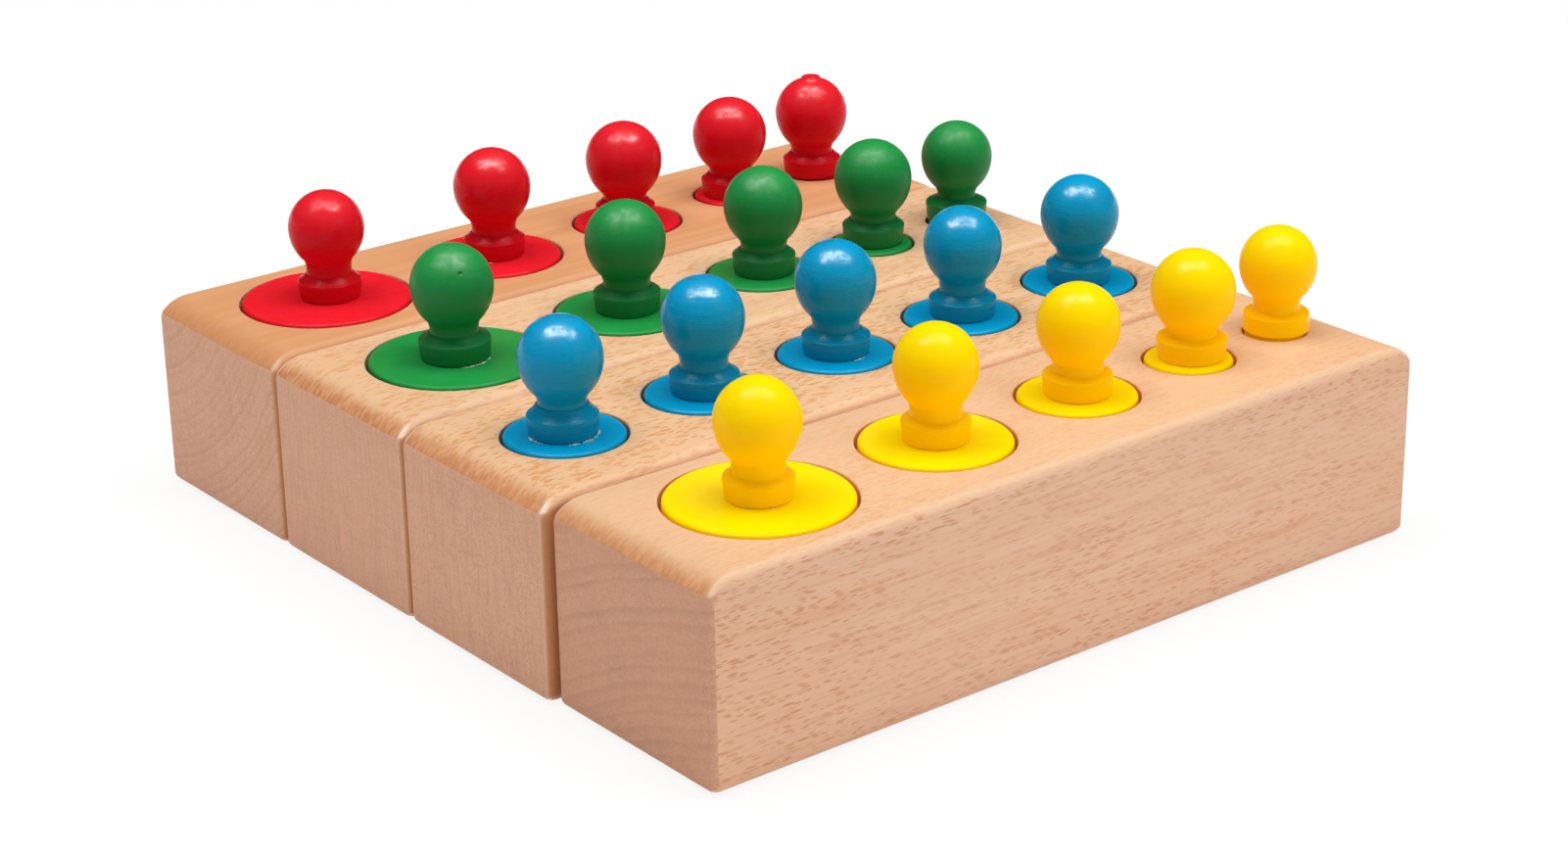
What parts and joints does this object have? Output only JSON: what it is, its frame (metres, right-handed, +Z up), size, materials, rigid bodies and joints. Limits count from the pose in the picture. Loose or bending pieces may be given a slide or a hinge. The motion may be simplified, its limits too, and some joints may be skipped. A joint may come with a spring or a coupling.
{
  "type": "knobbed cylinder block set",
  "caption": "Beech blocks side by side, each with blind bores that hold graded, painted wooden cylinders; the cylinders lift out by turned ball knobs for sorting by width and height.",
  "frame": {"origin": "middle of the set's underside, on the table", "axes": "+X along the blocks from the first cylinder to the last, +Y from the front row to the back row, +Z up"},
  "size_m": [0.1512, 0.1612, 0.0547],
  "materials": {
    "beech": "satin",
    "yellow_paint": "painted, satin gloss",
    "blue_paint": "painted, satin gloss",
    "green_paint": "painted, satin gloss",
    "red_paint": "painted, satin gloss"
  },
  "bodies": {
    "yellow_row": {"yellow_block": "beech"},
    "yellow_peg_1": {"yellow_cylinder_1": "yellow_paint", "yellow_knob_1": "yellow_paint"},
    "yellow_peg_2": {"yellow_cylinder_2": "yellow_paint", "yellow_knob_2": "yellow_paint"},
    "yellow_peg_3": {"yellow_cylinder_3": "yellow_paint", "yellow_knob_3": "yellow_paint"},
    "yellow_peg_4": {"yellow_cylinder_4": "yellow_paint", "yellow_knob_4": "yellow_paint"},
    "yellow_peg_5": {"yellow_cylinder_5": "yellow_paint", "yellow_knob_5": "yellow_paint"},
    "blue_row": {"blue_block": "beech"},
    "blue_peg_1": {"blue_cylinder_1": "blue_paint", "blue_knob_1": "blue_paint"},
    "blue_peg_2": {"blue_cylinder_2": "blue_paint", "blue_knob_2": "blue_paint"},
    "blue_peg_3": {"blue_cylinder_3": "blue_paint", "blue_knob_3": "blue_paint"},
    "blue_peg_4": {"blue_cylinder_4": "blue_paint", "blue_knob_4": "blue_paint"},
    "blue_peg_5": {"blue_cylinder_5": "blue_paint", "blue_knob_5": "blue_paint"},
    "green_row": {"green_block": "beech"},
    "green_peg_1": {"green_cylinder_1": "green_paint", "green_knob_1": "green_paint"},
    "green_peg_2": {"green_cylinder_2": "green_paint", "green_knob_2": "green_paint"},
    "green_peg_3": {"green_cylinder_3": "green_paint", "green_knob_3": "green_paint"},
    "green_peg_4": {"green_cylinder_4": "green_paint", "green_knob_4": "green_paint"},
    "green_peg_5": {"green_cylinder_5": "green_paint", "green_knob_5": "green_paint"},
    "red_row": {"red_block": "beech"},
    "red_peg_1": {"red_cylinder_1": "red_paint", "red_knob_1": "red_paint"},
    "red_peg_2": {"red_cylinder_2": "red_paint", "red_knob_2": "red_paint"},
    "red_peg_3": {"red_cylinder_3": "red_paint", "red_knob_3": "red_paint"},
    "red_peg_4": {"red_cylinder_4": "red_paint", "red_knob_4": "red_paint"},
    "red_peg_5": {"red_cylinder_5": "red_paint", "red_knob_5": "red_paint"}
  },
  "joints": [
    {"name": "yellow_peg_1_lift", "type": "slide", "parent": "yellow_row", "child": "yellow_peg_1", "axis": [0, 0, 1], "range_m": [0, 0.035]},
    {"name": "yellow_peg_2_lift", "type": "slide", "parent": "yellow_row", "child": "yellow_peg_2", "axis": [0, 0, 1], "range_m": [0, 0.031]},
    {"name": "yellow_peg_3_lift", "type": "slide", "parent": "yellow_row", "child": "yellow_peg_3", "axis": [0, 0, 1], "range_m": [0, 0.027]},
    {"name": "yellow_peg_4_lift", "type": "slide", "parent": "yellow_row", "child": "yellow_peg_4", "axis": [0, 0, 1], "range_m": [0, 0.023]},
    {"name": "yellow_peg_5_lift", "type": "slide", "parent": "yellow_row", "child": "yellow_peg_5", "axis": [0, 0, 1], "range_m": [0, 0.019]},
    {"name": "blue_row_slide", "type": "slide", "parent": "yellow_row", "child": "blue_row", "axis": [0, 1, 0], "range_m": [0, 0.06]},
    {"name": "blue_peg_1_lift", "type": "slide", "parent": "blue_row", "child": "blue_peg_1", "axis": [0, 0, 1], "range_m": [0, 0.035]},
    {"name": "blue_peg_2_lift", "type": "slide", "parent": "blue_row", "child": "blue_peg_2", "axis": [0, 0, 1], "range_m": [0, 0.031]},
    {"name": "blue_peg_3_lift", "type": "slide", "parent": "blue_row", "child": "blue_peg_3", "axis": [0, 0, 1], "range_m": [0, 0.027]},
    {"name": "blue_peg_4_lift", "type": "slide", "parent": "blue_row", "child": "blue_peg_4", "axis": [0, 0, 1], "range_m": [0, 0.023]},
    {"name": "blue_peg_5_lift", "type": "slide", "parent": "blue_row", "child": "blue_peg_5", "axis": [0, 0, 1], "range_m": [0, 0.019]},
    {"name": "green_row_slide", "type": "slide", "parent": "blue_row", "child": "green_row", "axis": [0, 1, 0], "range_m": [0, 0.06]},
    {"name": "green_peg_1_lift", "type": "slide", "parent": "green_row", "child": "green_peg_1", "axis": [0, 0, 1], "range_m": [0, 0.019]},
    {"name": "green_peg_2_lift", "type": "slide", "parent": "green_row", "child": "green_peg_2", "axis": [0, 0, 1], "range_m": [0, 0.023]},
    {"name": "green_peg_3_lift", "type": "slide", "parent": "green_row", "child": "green_peg_3", "axis": [0, 0, 1], "range_m": [0, 0.027]},
    {"name": "green_peg_4_lift", "type": "slide", "parent": "green_row", "child": "green_peg_4", "axis": [0, 0, 1], "range_m": [0, 0.031]},
    {"name": "green_peg_5_lift", "type": "slide", "parent": "green_row", "child": "green_peg_5", "axis": [0, 0, 1], "range_m": [0, 0.035]},
    {"name": "red_row_slide", "type": "slide", "parent": "green_row", "child": "red_row", "axis": [0, 1, 0], "range_m": [0, 0.06]},
    {"name": "red_peg_1_lift", "type": "slide", "parent": "red_row", "child": "red_peg_1", "axis": [0, 0, 1], "range_m": [0, 0.035]},
    {"name": "red_peg_2_lift", "type": "slide", "parent": "red_row", "child": "red_peg_2", "axis": [0, 0, 1], "range_m": [0, 0.035]},
    {"name": "red_peg_3_lift", "type": "slide", "parent": "red_row", "child": "red_peg_3", "axis": [0, 0, 1], "range_m": [0, 0.035]},
    {"name": "red_peg_4_lift", "type": "slide", "parent": "red_row", "child": "red_peg_4", "axis": [0, 0, 1], "range_m": [0, 0.035]},
    {"name": "red_peg_5_lift", "type": "slide", "parent": "red_row", "child": "red_peg_5", "axis": [0, 0, 1], "range_m": [0, 0.035]}
  ]
}
